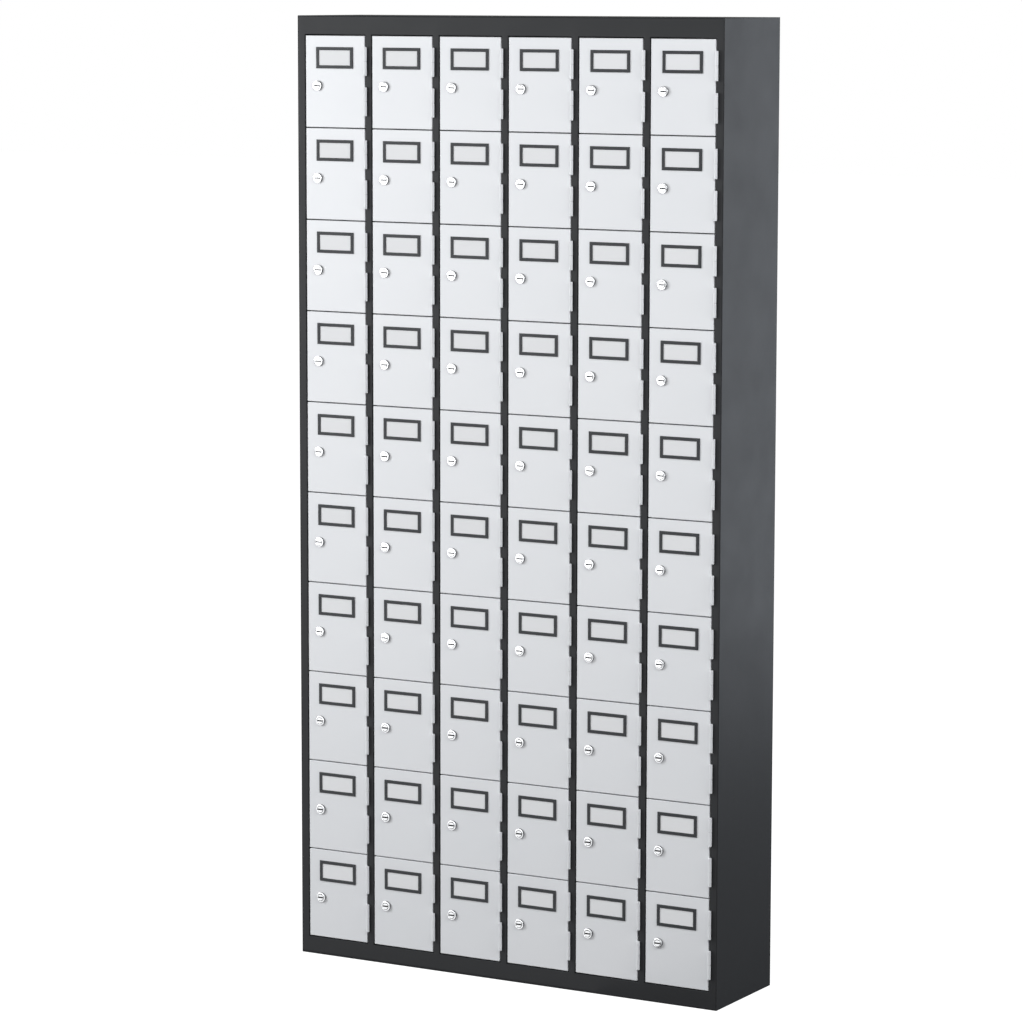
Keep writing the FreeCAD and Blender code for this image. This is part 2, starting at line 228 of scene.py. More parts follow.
def draw_out(bm: BMesh, edges: Iterable[BMEdge], way: Vector) -> list[BMEdge]:
    """Draw edges out into walls.

    Args:
        bm: The mesh they are in.
        edges: The edges.
        way: How far and which way the walls go.

    Returns:
        The walls' far edges.
    """
    made = bmesh.ops.extrude_edge_only(bm, edges=list(edges))["geom"]
    bmesh.ops.translate(bm, verts=of_kind(made, BMVert), vec=way)
    return of_kind(made, BMEdge)


def press(bm: BMesh, faces: Sequence[BMFace], way: Vector, keep: bool = False) -> None:
    """Press faces in or out, with walls round them.

    Args:
        bm: The mesh they are in.
        faces: The faces.
        way: How far and which way they go.
        keep: Whether faces stay behind where they were, as the other end of a solid.
    """
    made = bmesh.ops.extrude_face_region(bm, geom=list(faces))["geom"]
    if not keep:
        bmesh.ops.delete(bm, geom=list(faces), context="FACES_ONLY")
    bmesh.ops.translate(bm, verts=of_kind(made, BMVert), vec=way)


def facing(bm: BMesh, direction: Vector) -> list[BMFace]:
    """The faces whose normal is along a direction."""
    bm.normal_update()
    return [f for f in bm.faces if f.normal.dot(direction) > SQUARE_ON]


def nearest(faces: Iterable[BMFace], point: Vector) -> BMFace:
    """The face whose middle is nearest to a point."""
    return min(faces, key=lambda f: (f.calc_center_median() - point).length)


def front_corners(bm: BMesh, face: float) -> list[BMEdge]:
    """The corners that lie in the plane of a front face, given its Y."""
    level = [e for e in bm.edges if all(v.co.y < face + SAME for v in e.verts)]
    return [e for e in level if e.calc_face_angle(0.0) > CORNER]


def face_front(bm: BMesh) -> None:
    """Turn an open pan's faces outwards, before its walls are made.

    Args:
        bm: The pan, with its face to the front.
    """
    bmesh.ops.recalc_face_normals(bm, faces=bm.faces)
    if not facing(bm, -INWARD):
        bmesh.ops.reverse_faces(bm, faces=bm.faces)


def closed(bm: BMesh) -> BMesh:
    """Merge a mesh's doubles and turn every face outwards.

    Args:
        bm: The mesh.

    Returns:
        The same mesh.
    """
    bmesh.ops.remove_doubles(bm, verts=bm.verts, dist=MERGE)
    bmesh.ops.recalc_face_normals(bm, faces=bm.faces)
    return bm


def mark_wear_and_shade(bm: BMesh, worn: Callable[[Vector], float]) -> BMesh:
    """Store how worn a mesh is at each vertex, and on the chrome how much painted shade darkens it.

    Args:
        bm: The mesh.
        worn: Gives the wear at a point, from 0 to 1; on the chrome it gives the painted shade.

    Returns:
        The same mesh.
    """
    layer = bm.verts.layers.float.get(WEAR_AND_SHADE) or bm.verts.layers.float.new(WEAR_AND_SHADE)
    for vert in bm.verts:
        vert[layer] = worn(vert.co)
    return bm


# ---- Shader helpers -------------------------------------------------------------------------------


def put(node: bpy.types.Node, values: dict[str, float | tuple]) -> None:
    """Set some of a node's own sockets, each by its name."""
    for name, value in values.items():
        node.inputs[name].default_value = value


def wire(
    tree: bpy.types.NodeTree, *links: tuple[bpy.types.Node, str | int, bpy.types.Node, str | int]
) -> None:
    """Link nodes, each link given as a node, its output, the next node and its input."""
    for source, output, target, entry in links:
        tree.links.new(source.outputs[output], target.inputs[entry])


def colour_mix(tree: bpy.types.NodeTree) -> bpy.types.Node:
    """Add a node that mixes two colours.

    Args:
        tree: The tree that takes it.

    Returns:
        The node.
    """
    mix = tree.nodes.new("ShaderNodeMix")
    mix.data_type = "RGBA"
    return mix


# ---- Shared effects: node groups that several finishes place with their own values -----------------


class Effects:
    """Builds each shared effect once, as a shader node group with named sockets."""

    def _start(
        self, name: str, inputs: dict[str, float | tuple], output: tuple[str, str]
    ) -> tuple[bpy.types.NodeTree, bpy.types.Node, bpy.types.Node]:
        """A new group with its sockets and its two end nodes.

        Args:
            name: The group's name.
            inputs: Each input's name and default, a number or a colour. Vector is added first.
            output: The output's name and socket type.

        Returns:
            The group's tree, the node its inputs come in by and the node its output leaves by.
        """
        tree = bpy.data.node_groups.new(name, "ShaderNodeTree")
        tree.interface.new_socket("Vector", in_out="INPUT", socket_type="NodeSocketVector")
        for label, value in inputs.items():
            kind = "NodeSocketColor" if isinstance(value, tuple) else "NodeSocketFloat"
            socket = tree.interface.new_socket(label, in_out="INPUT", socket_type=kind)
            socket.default_value = value
        tree.interface.new_socket(output[0], in_out="OUTPUT", socket_type=output[1])
        return tree, tree.nodes.new("NodeGroupInput"), tree.nodes.new("NodeGroupOutput")

    def _noise(
        self,
        tree: bpy.types.NodeTree,
        entry: bpy.types.Node,
        scale: str,
        detail: float,
        roughness: float = 0.5,
    ) -> bpy.types.Node:
        """A noise over the piece's own coordinates.

        Args:
            tree: The group's tree.
            entry: The node its inputs come in by.
            scale: The input that gives the noise its scale.
            detail: How many finer layers it has.
            roughness: How strong the finer layers are.

        Returns:
            The noise's node.
        """
        noise = tree.nodes.new("ShaderNodeTexNoise")
        put(noise, {"Detail": detail, "Roughness": roughness})
        wire(tree, (entry, "Vector", noise, "Vector"), (entry, scale, noise, "Scale"))
        return noise

    @cached_property
    def peel(self) -> bpy.types.NodeTree:
        """Height of a sprayed or moulded skin: a fine grain over a slow ripple.

        Returns:
            The group's tree.
        """
        inputs = {"Grain": 900.0, "Ripple": 160.0, "Share": 0.6}
        tree, entry, leave = self._start("peel", inputs, ("Height", "NodeSocketFloat"))
        fine = self._noise(tree, entry, "Grain", 2.0)
        slow = self._noise(tree, entry, "Ripple", 1.0)
        blend = tree.nodes.new("ShaderNodeMix")
        wire(
            tree,
            (entry, "Share", blend, MIX_FACTOR),
            (slow, "Fac", blend, MIX_NUMBERS[0]),
            (fine, "Fac", blend, MIX_NUMBERS[1]),
            (blend, MIXED_NUMBER, leave, "Height"),
        )
        return tree

    @cached_property
    def spread(self) -> bpy.types.NodeTree:
        """A value that drifts between two limits over a surface.

        Returns:
            The group's tree.
        """
        inputs = {"Scale": 9.0, "Low": 0.3, "High": 0.4}
        tree, entry, leave = self._start("spread", inputs, ("Value", "NodeSocketFloat"))
        noise = self._noise(tree, entry, "Scale", 5.0, 0.62)
        span = tree.nodes.new("ShaderNodeMapRange")
        put(span, {"From Min": 0.3, "From Max": 0.7})
        wire(
            tree,
            (noise, "Fac", span, "Value"),
            (entry, "Low", span, "To Min"),
            (entry, "High", span, "To Max"),
            (span, "Result", leave, "Value"),
        )
        return tree

    @cached_property
    def tint(self) -> bpy.types.NodeTree:
        """A colour that drifts between two close shades.

        Returns:
            The group's tree.
        """
        inputs = {"Scale": 5.0, "Shade": (0.5, 0.5, 0.5, 1.0), "Other Shade": (0.5, 0.5, 0.5, 1.0)}
        tree, entry, leave = self._start("tint", inputs, ("Colour", "NodeSocketColor"))
        noise = self._noise(tree, entry, "Scale", 4.0)
        blend = colour_mix(tree)
        wire(
            tree,
            (noise, "Fac", blend, MIX_FACTOR),
            (entry, "Shade", blend, MIX_COLOURS[0]),
            (entry, "Other Shade", blend, MIX_COLOURS[1]),
            (blend, MIXED_COLOUR, leave, "Colour"),
        )
        return tree

    @cached_property
    def rub(self) -> bpy.types.NodeTree:
        """A colour rubbed lighter in broken patches where the piece is marked as worn.

        Returns:
            The group's tree.
        """
        inputs = {
            "Scale": 260.0,
            "Amount": 0.4,
            "Paint": (0.5, 0.5, 0.5, 1.0),
            "Rubbed": (0.6, 0.6, 0.6, 1.0),
        }
        tree, entry, leave = self._start("rub", inputs, ("Colour", "NodeSocketColor"))
        worn = tree.nodes.new("ShaderNodeAttribute")
        worn.attribute_name = WEAR_AND_SHADE
        noise = self._noise(tree, entry, "Scale", 6.0)
        patches = tree.nodes.new("ShaderNodeMapRange")
        put(patches, {"From Min": 0.45, "From Max": 0.62})
        masked = tree.nodes.new("ShaderNodeMath")
        masked.operation = "MULTIPLY"
        scaled = tree.nodes.new("ShaderNodeMath")
        scaled.operation = "MULTIPLY"
        blend = colour_mix(tree)
        wire(
            tree,
            (noise, "Fac", patches, "Value"),
            (patches, "Result", masked, 0),
            (worn, "Fac", masked, 1),
            (masked, "Value", scaled, 0),
            (entry, "Amount", scaled, 1),
            (scaled, "Value", blend, MIX_FACTOR),
            (entry, "Paint", blend, MIX_COLOURS[0]),
            (entry, "Rubbed", blend, MIX_COLOURS[1]),
            (blend, MIXED_COLOUR, leave, "Colour"),
        )
        return tree


# ---- Finishes -------------------------------------------------------------------------------------


@dataclass(frozen=True)
class Finish:
    """What every finish shares: a slot, two close shades and a range of roughness."""

    slot: Slot
    shade: tuple[float, float, float]
    other_shade: tuple[float, float, float]
    smoothest: float
    roughest: float
    tint_scale: float = 5.0
    spread_scale: float = 9.0

    def start(self, effects: Effects) -> tuple[bpy.types.Material, dict[str, bpy.types.Node]]:
        """A material with its shader, its coordinates, its tint and its roughness.

        Args:
            effects: The shared node groups.

        Returns:
            The material, and its nodes by name: shader, where and tint.
        """
        material = bpy.data.materials.new(self.slot.value)
        material.use_nodes = True
        tree = material.node_tree
        shader = tree.nodes["Principled BSDF"]
        where = tree.nodes.new("ShaderNodeTexCoord")
        shades = {"Shade": (*self.shade, 1.0), "Other Shade": (*self.other_shade, 1.0)}
        tint = self.place(material, effects.tint, where, {"Scale": self.tint_scale, **shades})
        limits = {"Low": self.smoothest, "High": self.roughest}
        spread = self.place(material, effects.spread, where, {"Scale": self.spread_scale, **limits})
        wire(tree, (tint, "Colour", shader, "Base Color"), (spread, "Value", shader, "Roughness"))
        return material, {"shader": shader, "where": where, "tint": tint}

    def place(
        self,
        material: bpy.types.Material,
        effect: bpy.types.NodeTree,
        where: bpy.types.Node,
        values: dict[str, float | tuple],
    ) -> bpy.types.Node:
        """Put a shared effect in the material, reading the piece's own coordinates.

        Args:
            material: The material.
            effect: The effect's node group.
            where: The material's coordinates.
            values: The group's inputs by name.

        Returns:
            The group's node.
        """
        group = material.node_tree.nodes.new("ShaderNodeGroup")
        group.node_tree = effect
        put(group, values)
        wire(material.node_tree, (where, "Object", group, "Vector"))
        return group

    def skin(
        self,
        material: bpy.types.Material,
        nodes: dict[str, bpy.types.Node],
        effects: Effects,
        heights: dict[str, float],
        depth: float,
    ) -> None:
        """Give the material a sprayed or moulded skin.

        Args:
            material: The material.
            nodes: Its nodes from start.
            effects: The shared node groups.
            heights: The scale of the Grain and of the Ripple, per metre, and the grain's Share.
            depth: The skin's depth, in metres.
        """
        peel = self.place(material, effects.peel, nodes["where"], heights)
        bump = material.node_tree.nodes.new("ShaderNodeBump")
        put(bump, {"Strength": 1.0, "Distance": depth})
        wire(
            material.node_tree,
            (peel, "Height", bump, "Height"),
            (bump, "Normal", nodes["shader"], "Normal"),
        )


@dataclass(frozen=True)
class PowderCoat(Finish):
    """Stoved powder paint: an even colour, an orange-peel skin and edges rubbed a little lighter."""

    rubbed: tuple[float, float, float] = (0.5, 0.5, 0.5)
    rub_amount: float = 0.3
    grain: float = 900.0
    ripple: float = 160.0
    share: float = 0.5
    depth: float = 0.00003
    gloss: float = 0.5

    def material(self, effects: Effects) -> bpy.types.Material:
        """Build the material.

        Args:
            effects: The shared node groups.

        Returns:
            The material.
        """
        material, nodes = self.start(effects)
        put(nodes["shader"], {"Specular IOR Level": self.gloss})
        values = {"Amount": self.rub_amount, "Rubbed": (*self.rubbed, 1.0)}
        rub = self.place(material, effects.rub, nodes["where"], values)
        wire(
            material.node_tree,
            (nodes["tint"], "Colour", rub, "Paint"),
            (rub, "Colour", nodes["shader"], "Base Color"),
        )
        heights = {"Grain": self.grain, "Ripple": self.ripple, "Share": self.share}
        self.skin(material, nodes, effects, heights, self.depth)
        return material


@dataclass(frozen=True)
class Moulding(Finish):
    """A moulded plastic or a pressed paper: a fine grain or fibre and a dull sheen."""

    grain: float = 2600.0
    ripple: float = 650.0
    share: float = 0.8
    depth: float = 0.00002
    gloss: float = 0.25

    def material(self, effects: Effects) -> bpy.types.Material:
        """Build the material.

        Args:
            effects: The shared node groups.

        Returns:
            The material.
        """
        material, nodes = self.start(effects)
        put(nodes["shader"], {"Specular IOR Level": self.gloss})
        heights = {"Grain": self.grain, "Ripple": self.ripple, "Share": self.share}
        self.skin(material, nodes, effects, heights, self.depth)
        return material


@dataclass(frozen=True)
class Paper(Moulding):
    """Uncoated card with a faint fibre."""

    grain: float = 1400.0
    ripple: float = 280.0
    share: float = 0.7


@dataclass(frozen=True)
class Plate(Finish):
    """A plated metal: bright or dull, with a faint polish or spangle, and a near-black painted shade where
    it is marked.
    """

    painted_shade_colour: tuple[float, float, float] = (0.02, 0.02, 0.02)
    grain: float = 1200.0
    ripple: float = 300.0
    share: float = 0.5
    depth: float = 0.000004

    def material(self, effects: Effects) -> bpy.types.Material:
        """Build the material.

        Args:
            effects: The shared node groups.

        Returns:
            The material.
        """
        material, nodes = self.start(effects)
        tree = material.node_tree
        put(nodes["shader"], {"Metallic": 1.0})
        # painted shade: the chrome turns near-black where its vertices are marked, standing in for shade
        # in the slot, the groove and the flange's side
        marked = tree.nodes.new("ShaderNodeAttribute")
        marked.attribute_name = WEAR_AND_SHADE
        blend = colour_mix(tree)
        blend.inputs[MIX_COLOURS[1]].default_value = (*self.painted_shade_colour, 1.0)
        wire(
            tree,
            (marked, "Fac", blend, MIX_FACTOR),
            (nodes["tint"], "Colour", blend, MIX_COLOURS[0]),
            (blend, MIXED_COLOUR, nodes["shader"], "Base Color"),
        )
        heights = {"Grain": self.grain, "Ripple": self.ripple, "Share": self.share}
        self.skin(material, nodes, effects, heights, self.depth)
        return material


FINISHES = (
    PowderCoat(
        Slot.CARCASS,
        (0.0310, 0.0320, 0.0340),
        (0.0340, 0.0350, 0.0370),
        smoothest=0.36,
        roughest=0.46,
        rubbed=(0.13, 0.135, 0.14),
        rub_amount=0.35,
        grain=1100.0,
        ripple=260.0,
        share=0.55,
        depth=0.00006,
        gloss=0.11,
    ),
    PowderCoat(
        Slot.DOOR,
        (0.80, 0.81, 0.83),
        (0.83, 0.835, 0.85),
        smoothest=0.30,
        roughest=0.38,
        rubbed=(0.60, 0.60, 0.61),
        rub_amount=0.35,
        grain=700.0,
        ripple=140.0,
        share=0.35,
        depth=0.00003,
    ),
    Moulding(Slot.HOLDER, (0.028, 0.030, 0.033), (0.034, 0.036, 0.040), smoothest=0.45, roughest=0.58),
    Paper(Slot.CARD, (0.87, 0.87, 0.88), (0.91, 0.91, 0.915), smoothest=0.82, roughest=0.92),
    Plate(
        Slot.CHROME,
        (0.78, 0.79, 0.81),
        (0.84, 0.85, 0.86),
        smoothest=0.10,
        roughest=0.20,
        tint_scale=60.0,
    ),
    Plate(
        Slot.STEEL,
        (0.50, 0.51, 0.53),
        (0.62, 0.62, 0.62),
        smoothest=0.28,
        roughest=0.46,
        tint_scale=220.0,
        spread_scale=90.0,
        depth=0.00001,
    ),
)


# ---- Making and dressing pieces ---------------------------------------------------------------------


@dataclass
class Workshop:
    """Turns meshes into pieces that ride on a body and wear a finish."""

    finishes: dict[Slot, bpy.types.Material]
    sharp_angle: float = math.radians(38.0)
    made: int = 0

    def mesh(self, name: str, bm: BMesh) -> bpy.types.Mesh:
        """Write a mesh out, smooth where it is round, and free it.

        Args:
            name: The data's name.
            bm: The mesh.

        Returns:
            The mesh's data.
        """
        data = bpy.data.meshes.new(name)
        bm.to_mesh(data)
        bm.free()
        data.shade_smooth()
        data.set_sharp_from_angle(angle=self.sharp_angle)
        return data

    def joined(self, name: str, parts: Iterable[BMesh]) -> bpy.types.Mesh:
        """Write several meshes out as one, and free them.

        Args:
            name: The data's name.
            parts: The meshes.

        Returns:
            The joined mesh's data.
        """
        whole = bmesh.new()
        for part in parts:
            spare = bpy.data.meshes.new("spare")
            part.to_mesh(spare)
            part.free()
            whole.from_mesh(spare)
            bpy.data.meshes.remove(spare)
        return self.mesh(name, whole)

    def piece(
        self,
        name: str,
        data: bpy.types.Mesh,
        slot: Slot,
        body: str,
        nodes: Iterable[str],
        shift: Vector | None = None,
    ) -> bpy.types.Object:
        """Make one piece.

        Args:
            name: The piece's name.
            data: Its mesh, in the frame's axes. A copy is used where a shift is given.
            slot: The material slot that it takes its finish from.
            body: The body that it rides on.
            nodes: The CAD nodes that it stands for.
            shift: How far it lies from where the mesh was modelled.

        Returns:
            The piece's object.
        """
        if shift is not None:
            data = data.copy()
            data.transform(Matrix.Translation(shift))
            data.name = name
        data.materials.clear()
        data.materials.append(self.finishes[slot])
        thing = bpy.data.objects.new(name, data)
        bpy.context.scene.collection.objects.link(thing)
        even = thing.modifiers.new("even_normals", "WEIGHTED_NORMAL")
        even.keep_sharp = True
        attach(thing, body)
        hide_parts(*nodes)
        self.made += 1
        log.info("%s: %d faces on %s", name, len(data.polygons), body)
        return thing

    def make(self, name: str, bm: BMesh, slot: Slot, body: str, node: str) -> bpy.types.Object:
        """Make one piece that stands for one CAD node, straight from its mesh.

        Args:
            name: The piece's name.
            bm: Its mesh, in the frame's axes.
            slot: The material slot that it takes its finish from.
            body: The body that it rides on.
            node: The CAD node that it stands for.

        Returns:
            The piece's object.
        """
        return self.piece(name, self.mesh(name, bm), slot, body, [node])

    def dress(self, node: str, slot: Slot) -> None:
        """Give a CAD node that stays in view its finish.

        Args:
            node: The node's name.
            slot: The material slot that it takes its finish from.
        """
        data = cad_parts[node].data
        data.materials.clear()
        data.materials.append(self.finishes[slot])
        log.info("%s: CAD node, %s", node, slot.value)


@dataclass
class DoorGrid:
    """Where each door is, read from the frame."""

    columns: int = 6
    rows: int = 10
    pattern_column: int = 3
    pattern_row: int = 5
    first_single_row: int = 3
    last_single_row: int = 8
    column_pitch: float = field(init=False)
    row_pitch: float = field(init=False)

    def __post_init__(self) -> None:
        """Measure the two pitches on whole doors of the frame."""
        upper, lower = self.first_single_row, self.last_single_row
        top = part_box(f"door_c1_r{upper}")[1].z
        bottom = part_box(f"door_c1_r{lower}")[1].z
        self.row_pitch = (top - bottom) / (lower - upper)
        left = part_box(f"door_c1_r{upper}")[0].x
        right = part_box(f"door_c{self.columns}_r{upper}")[0].x
        self.column_pitch = (right - left) / (self.columns - 1)

    def places(self) -> Iterable[tuple[int, int]]:
        """Every door's column and row."""
        return ((c, r) for c in range(1, self.columns + 1) for r in range(1, self.rows + 1))

    def is_pattern(self, column: int, row: int) -> bool:
        """Whether this is the door that the frame holds in separate nodes."""
        return (column, row) == (self.pattern_column, self.pattern_row)

    def shift(self, column: int, row: int) -> Vector:
        """How far a door lies from the pattern door.

        Args:
            column: The door's column, from the left.
            row: Its row, from the top.

        Returns:
            The way from the pattern door to it.
        """
        across = (column - self.pattern_column) * self.column_pitch
        down = (row - self.pattern_row) * self.row_pitch
        return Vector((across, 0.0, -down))

    def body(self, column: int, row: int) -> str:
        """The body that a door belongs to.

        Args:
            column: The door's column, from the left.
            row: Its row, from the top.

        Returns:
            The body's name, which is also its node's, except for the pattern door.
        """
        if self.first_single_row <= row <= self.last_single_row:
            return f"door_c{column}_r{row}"
        return f"end_doors_c{column}"


# ---- Hinges ---------------------------------------------------------------------------------------


@dataclass
class Hinges:
    """The two lift-off hinges of a door: turned knuckles with welded leaves."""

    knuckle_length: float = 27.0 * MM
    seam: float = 0.5 * MM
    leaf_sheet: float = 1.0 * MM
    leaf_offset: float = 0.2 * MM
    bore_radius: float = 2.3 * MM
    cap: float = 2.0 * MM
    round_over: float = 0.35 * MM
    crown: float = 0.8 * MM
    press_fit: float = 0.05 * MM
    steps: int = 14
    radius: float = field(init=False)
    axis_x: float = field(init=False)
    axis_y: float = field(init=False)
    leaf_back: float = field(init=False)
    door_bottoms: tuple[float, float] = field(init=False)

    def __post_init__(self) -> None:
        """Read the hinge line and the heights of the two seams from the frame."""
        low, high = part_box("door_hinge_halves")
        self.radius = (high.x - low.x) / 2
        self.axis_x = (low.x + high.x) / 2
        self.axis_y = low.y + self.radius
        self.leaf_back = high.y
        self.door_bottoms = (low.z, high.z - self.knuckle_length)

    def _leaf(self, bm: BMesh, bottom: float, offset: float) -> None:
        """Add a leaf that leaves the knuckle's side and runs in beside the door's edge.

        Args:
            bm: The mesh that takes it.
            bottom: The height of its knuckle's foot.
            offset: How far it stands in from the knuckle's outermost line.
        """
        x = self.axis_x - self.radius + offset
        low = Vector((x, self.axis_y + self.round_over, bottom))
        high = Vector((x + self.leaf_sheet, self.leaf_back, bottom + self.knuckle_length))
        slab(bm, low, high)

    def door_halves(self) -> BMesh:
        """The pattern door's two upper knuckles, each capped and crowned, with their leaves.

        Returns:
            Their mesh.
        """
        bm = bmesh.new()
        r, b, n = self.radius, self.bore_radius, self.round_over
        top = self.knuckle_length
        outline = (
            (0.0, top - self.cap),
            (b, top - self.cap),
            (b, 0.0),
            (r - n, 0.0),
            (r, n),
            (r, top - self.crown),
            (r - self.crown / 3, top - self.crown / 3),
            (r - self.crown, top),
            (0.0, top),
        )
        for bottom in self.door_bottoms:
            foot = Vector((self.axis_x, self.axis_y, bottom))
            turn(bm, outline, foot, UP, RIGHT, self.steps)
            self._leaf(bm, bottom, 0.0)
        return closed(bm)

    def frame_halves(self) -> BMesh:
        """The stile's two lower knuckles at the pattern door, open at both ends.

        Returns:
            Their mesh.
        """
        bm = bmesh.new()
        r, b, n = self.radius, self.bore_radius - self.press_fit, self.round_over
        top = self.knuckle_length
        outline = ((b, 0.0), (r - n, 0.0), (r, n), (r, top - n), (r - n, top), (b, top), (b, 0.0))
        for bottom in self.door_bottoms:
            foot = Vector((self.axis_x, self.axis_y, bottom - self.seam - top))
            turn(bm, outline, foot, UP, RIGHT, self.steps)
            self._leaf(bm, foot.z, self.leaf_offset)
        return closed(bm)

    def _halves_at(self, shift: Vector) -> BMesh:
        """The stile's two lower knuckles at another door.

        Args:
            shift: How far that door lies from the pattern door.

        Returns:
            Their mesh.
        """
        bm = self.frame_halves()
        bmesh.ops.translate(bm, verts=bm.verts, vec=shift)
        return bm

    def on_frame(self, shop: Workshop, grid: DoorGrid) -> None:
        """Make all the stiles' halves, one piece for each column.

        Args:
            shop: The workshop that makes them.
            grid: Where the doors are.
        """
        for column in range(1, grid.columns + 1):
            name = f"frame_knuckles_c{column}"
            halves = (self._halves_at(grid.shift(column, row)) for row in range(1, grid.rows + 1))
            shop.piece(name, shop.joined(name, halves), Slot.DOOR, "root", ["frame_hinge_halves"])


# ---- Door -----------------------------------------------------------------------------------------


@dataclass
class DoorPanel:
    """A folded steel pan with a hole for the lock, and its hinges' upper halves welded on."""

    sheet: float = 1.0 * MM
    bend: float = 0.9 * MM
    bend_segments: int = 3
    rub_band: float = 2.2 * MM
    worn_share: float = 0.8
    hole_radius: float = 8.1 * MM
    hole_frame: float = 9.2 * MM
    hole_lip: float = 0.3 * MM
    hole_cuts: int = 3

    def _edge_wear(self, low: Vector, high: Vector) -> Callable[[Vector], float]:
        """How worn the pan is: all along the bends round its face, and nowhere else.

        Args:
            low: The pan's lowest corner.
            high: Its highest corner.

        Returns:
            The wear at a point, 0 or 1.
        """

        def worn(point: Vector) -> float:
            """1 near the face's edges."""
            inset = min(point.x - low.x, high.x - point.x, point.z - low.z, high.z - point.z)
            return float(inset < self.rub_band * self.worn_share and point.y < low.y + 2 * self.bend)

        return worn

    def _lock_hole(self, bm: BMesh, face: BMFace, centre: Vector) -> None:
        """Open a round hole in the pan's face for the lock.

        Args:
            bm: The pan.
            face: The flat of its face.
            centre: The hole's centre.
        """
        half = self.hole_frame
        cut_lines(bm, [face], [centre - RIGHT * half, centre + RIGHT * half], RIGHT)
        middle = [f for f in facing(bm, -INWARD) if abs(f.calc_center_median().x - centre.x) < half]
        cut_lines(bm, middle, [centre - UP * half, centre + UP * half], UP)
        window = nearest(facing(bm, -INWARD), centre)
        bmesh.ops.subdivide_edges(bm, edges=window.edges[:], cuts=self.hole_cuts, use_grid_fill=False)
        window = nearest(facing(bm, -INWARD), centre)
        bmesh.ops.inset_individual(bm, faces=[window], thickness=self.hole_lip)
        for vert in window.verts:
            away = vert.co - centre
            away.y = 0.0
            vert.co = centre + away.normalized() * self.hole_radius
        bmesh.ops.delete(bm, geom=[window], context="FACES")

    def shape(self, lock_centre: Vector) -> BMesh:
        """The pattern door's pan.

        Args:
            lock_centre: A point on the lock's axis.

        Returns:
            The pan's mesh.
        """
        low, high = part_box("door_panel")
        bm = bmesh.new()
        slab(bm, low, high)
        bmesh.ops.delete(bm, geom=facing(bm, INWARD), context="FACES_ONLY")
        bends = [e for e in bm.edges if len(e.link_faces) == 2]
        soften(bm, bends, self.bend, self.bend_segments)
        face = max(facing(bm, -INWARD), key=lambda f: f.calc_area())
        bmesh.ops.inset_individual(bm, faces=[face], thickness=self.rub_band)
        centre = Vector((lock_centre.x, low.y, lock_centre.z))
        self._lock_hole(bm, face, centre)
        bmesh.ops.remove_doubles(bm, verts=bm.verts, dist=MERGE)
        face_front(bm)
        bmesh.ops.solidify(bm, geom=bm.faces[:], thickness=self.sheet)
        return closed(mark_wear_and_shade(bm, self._edge_wear(low, high)))


@dataclass
class CardHolder:
    """A slim frame on the door with a pocket behind it, and the blank card in the pocket."""

    band: float = 6.0 * MM
    rim: float = 2.2 * MM
    pocket: float = 0.6 * MM
    edge_round: float = 0.45 * MM
    card_round: float = 1.0 * MM

    def shape(self) -> BMesh:
        """The holder: a rectangle walked through its section, from rim to window and back.

        Returns:
            Its mesh.
        """
        low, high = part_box("card_holder")
        centre = (low + high) / 2
        half = (high - low) / 2
        face, back = low.y, high.y
        steps = (
            (0.0, face),
            (self.band, face),
            (self.band, back - self.pocket),
            (self.rim, back - self.pocket),
            (self.rim, back),
            (0.0, back),
        )
        bm = bmesh.new()
        square = upright(Vector((centre.x, back, centre.z))) @ Matrix.Rotation(QUARTER / 2, 4, "Z")
        corner = math.sqrt(2.0)
        made = bmesh.ops.create_circle(bm, cap_ends=False, segments=4, radius=corner, matrix=square)
        edges = edges_among(made["verts"])
        self._fit(made["verts"], centre, half, 0.0, back)
        for inset, y in steps:
            made = bmesh.ops.extrude_edge_only(bm, edges=edges)["geom"]
            edges = of_kind(made, BMEdge)
            self._fit(of_kind(made, BMVert), centre, half, inset, y)
        closed(bm)
        front = [e for e in bm.edges if all(abs(v.co.y - face) < SAME for v in e.verts)]
        soften(bm, front, self.edge_round)
        return closed(bm)

    def _fit(self, ring: Iterable[BMVert], centre: Vector, half: Vector, inset: float, y: float) -> None:
        """Put a ring's four corners on a rectangle that is inset from the holder's outline.

        Args:
            ring: The corners.
            centre: The holder's centre.
            half: Half its size.
            inset: How far the rectangle is inset.
            y: Where it lies between front and back.
        """
        for vert in ring:
            vert.co.x = centre.x + math.copysign(half.x - inset, vert.co.x - centre.x)
            vert.co.z = centre.z + math.copysign(half.z - inset, vert.co.z - centre.z)
            vert.co.y = y

    def card(self) -> BMesh:
        """The blank card, with its corners rounded.

        Returns:
            Its mesh.
        """
        bm = bmesh.new()
        slab(bm, *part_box("card_insert"))
        corners = [e for e in bm.edges if abs((e.verts[0].co - e.verts[1].co).normalized().y) > SQUARE_ON]
        soften(bm, corners, self.card_round)
        return closed(bm)


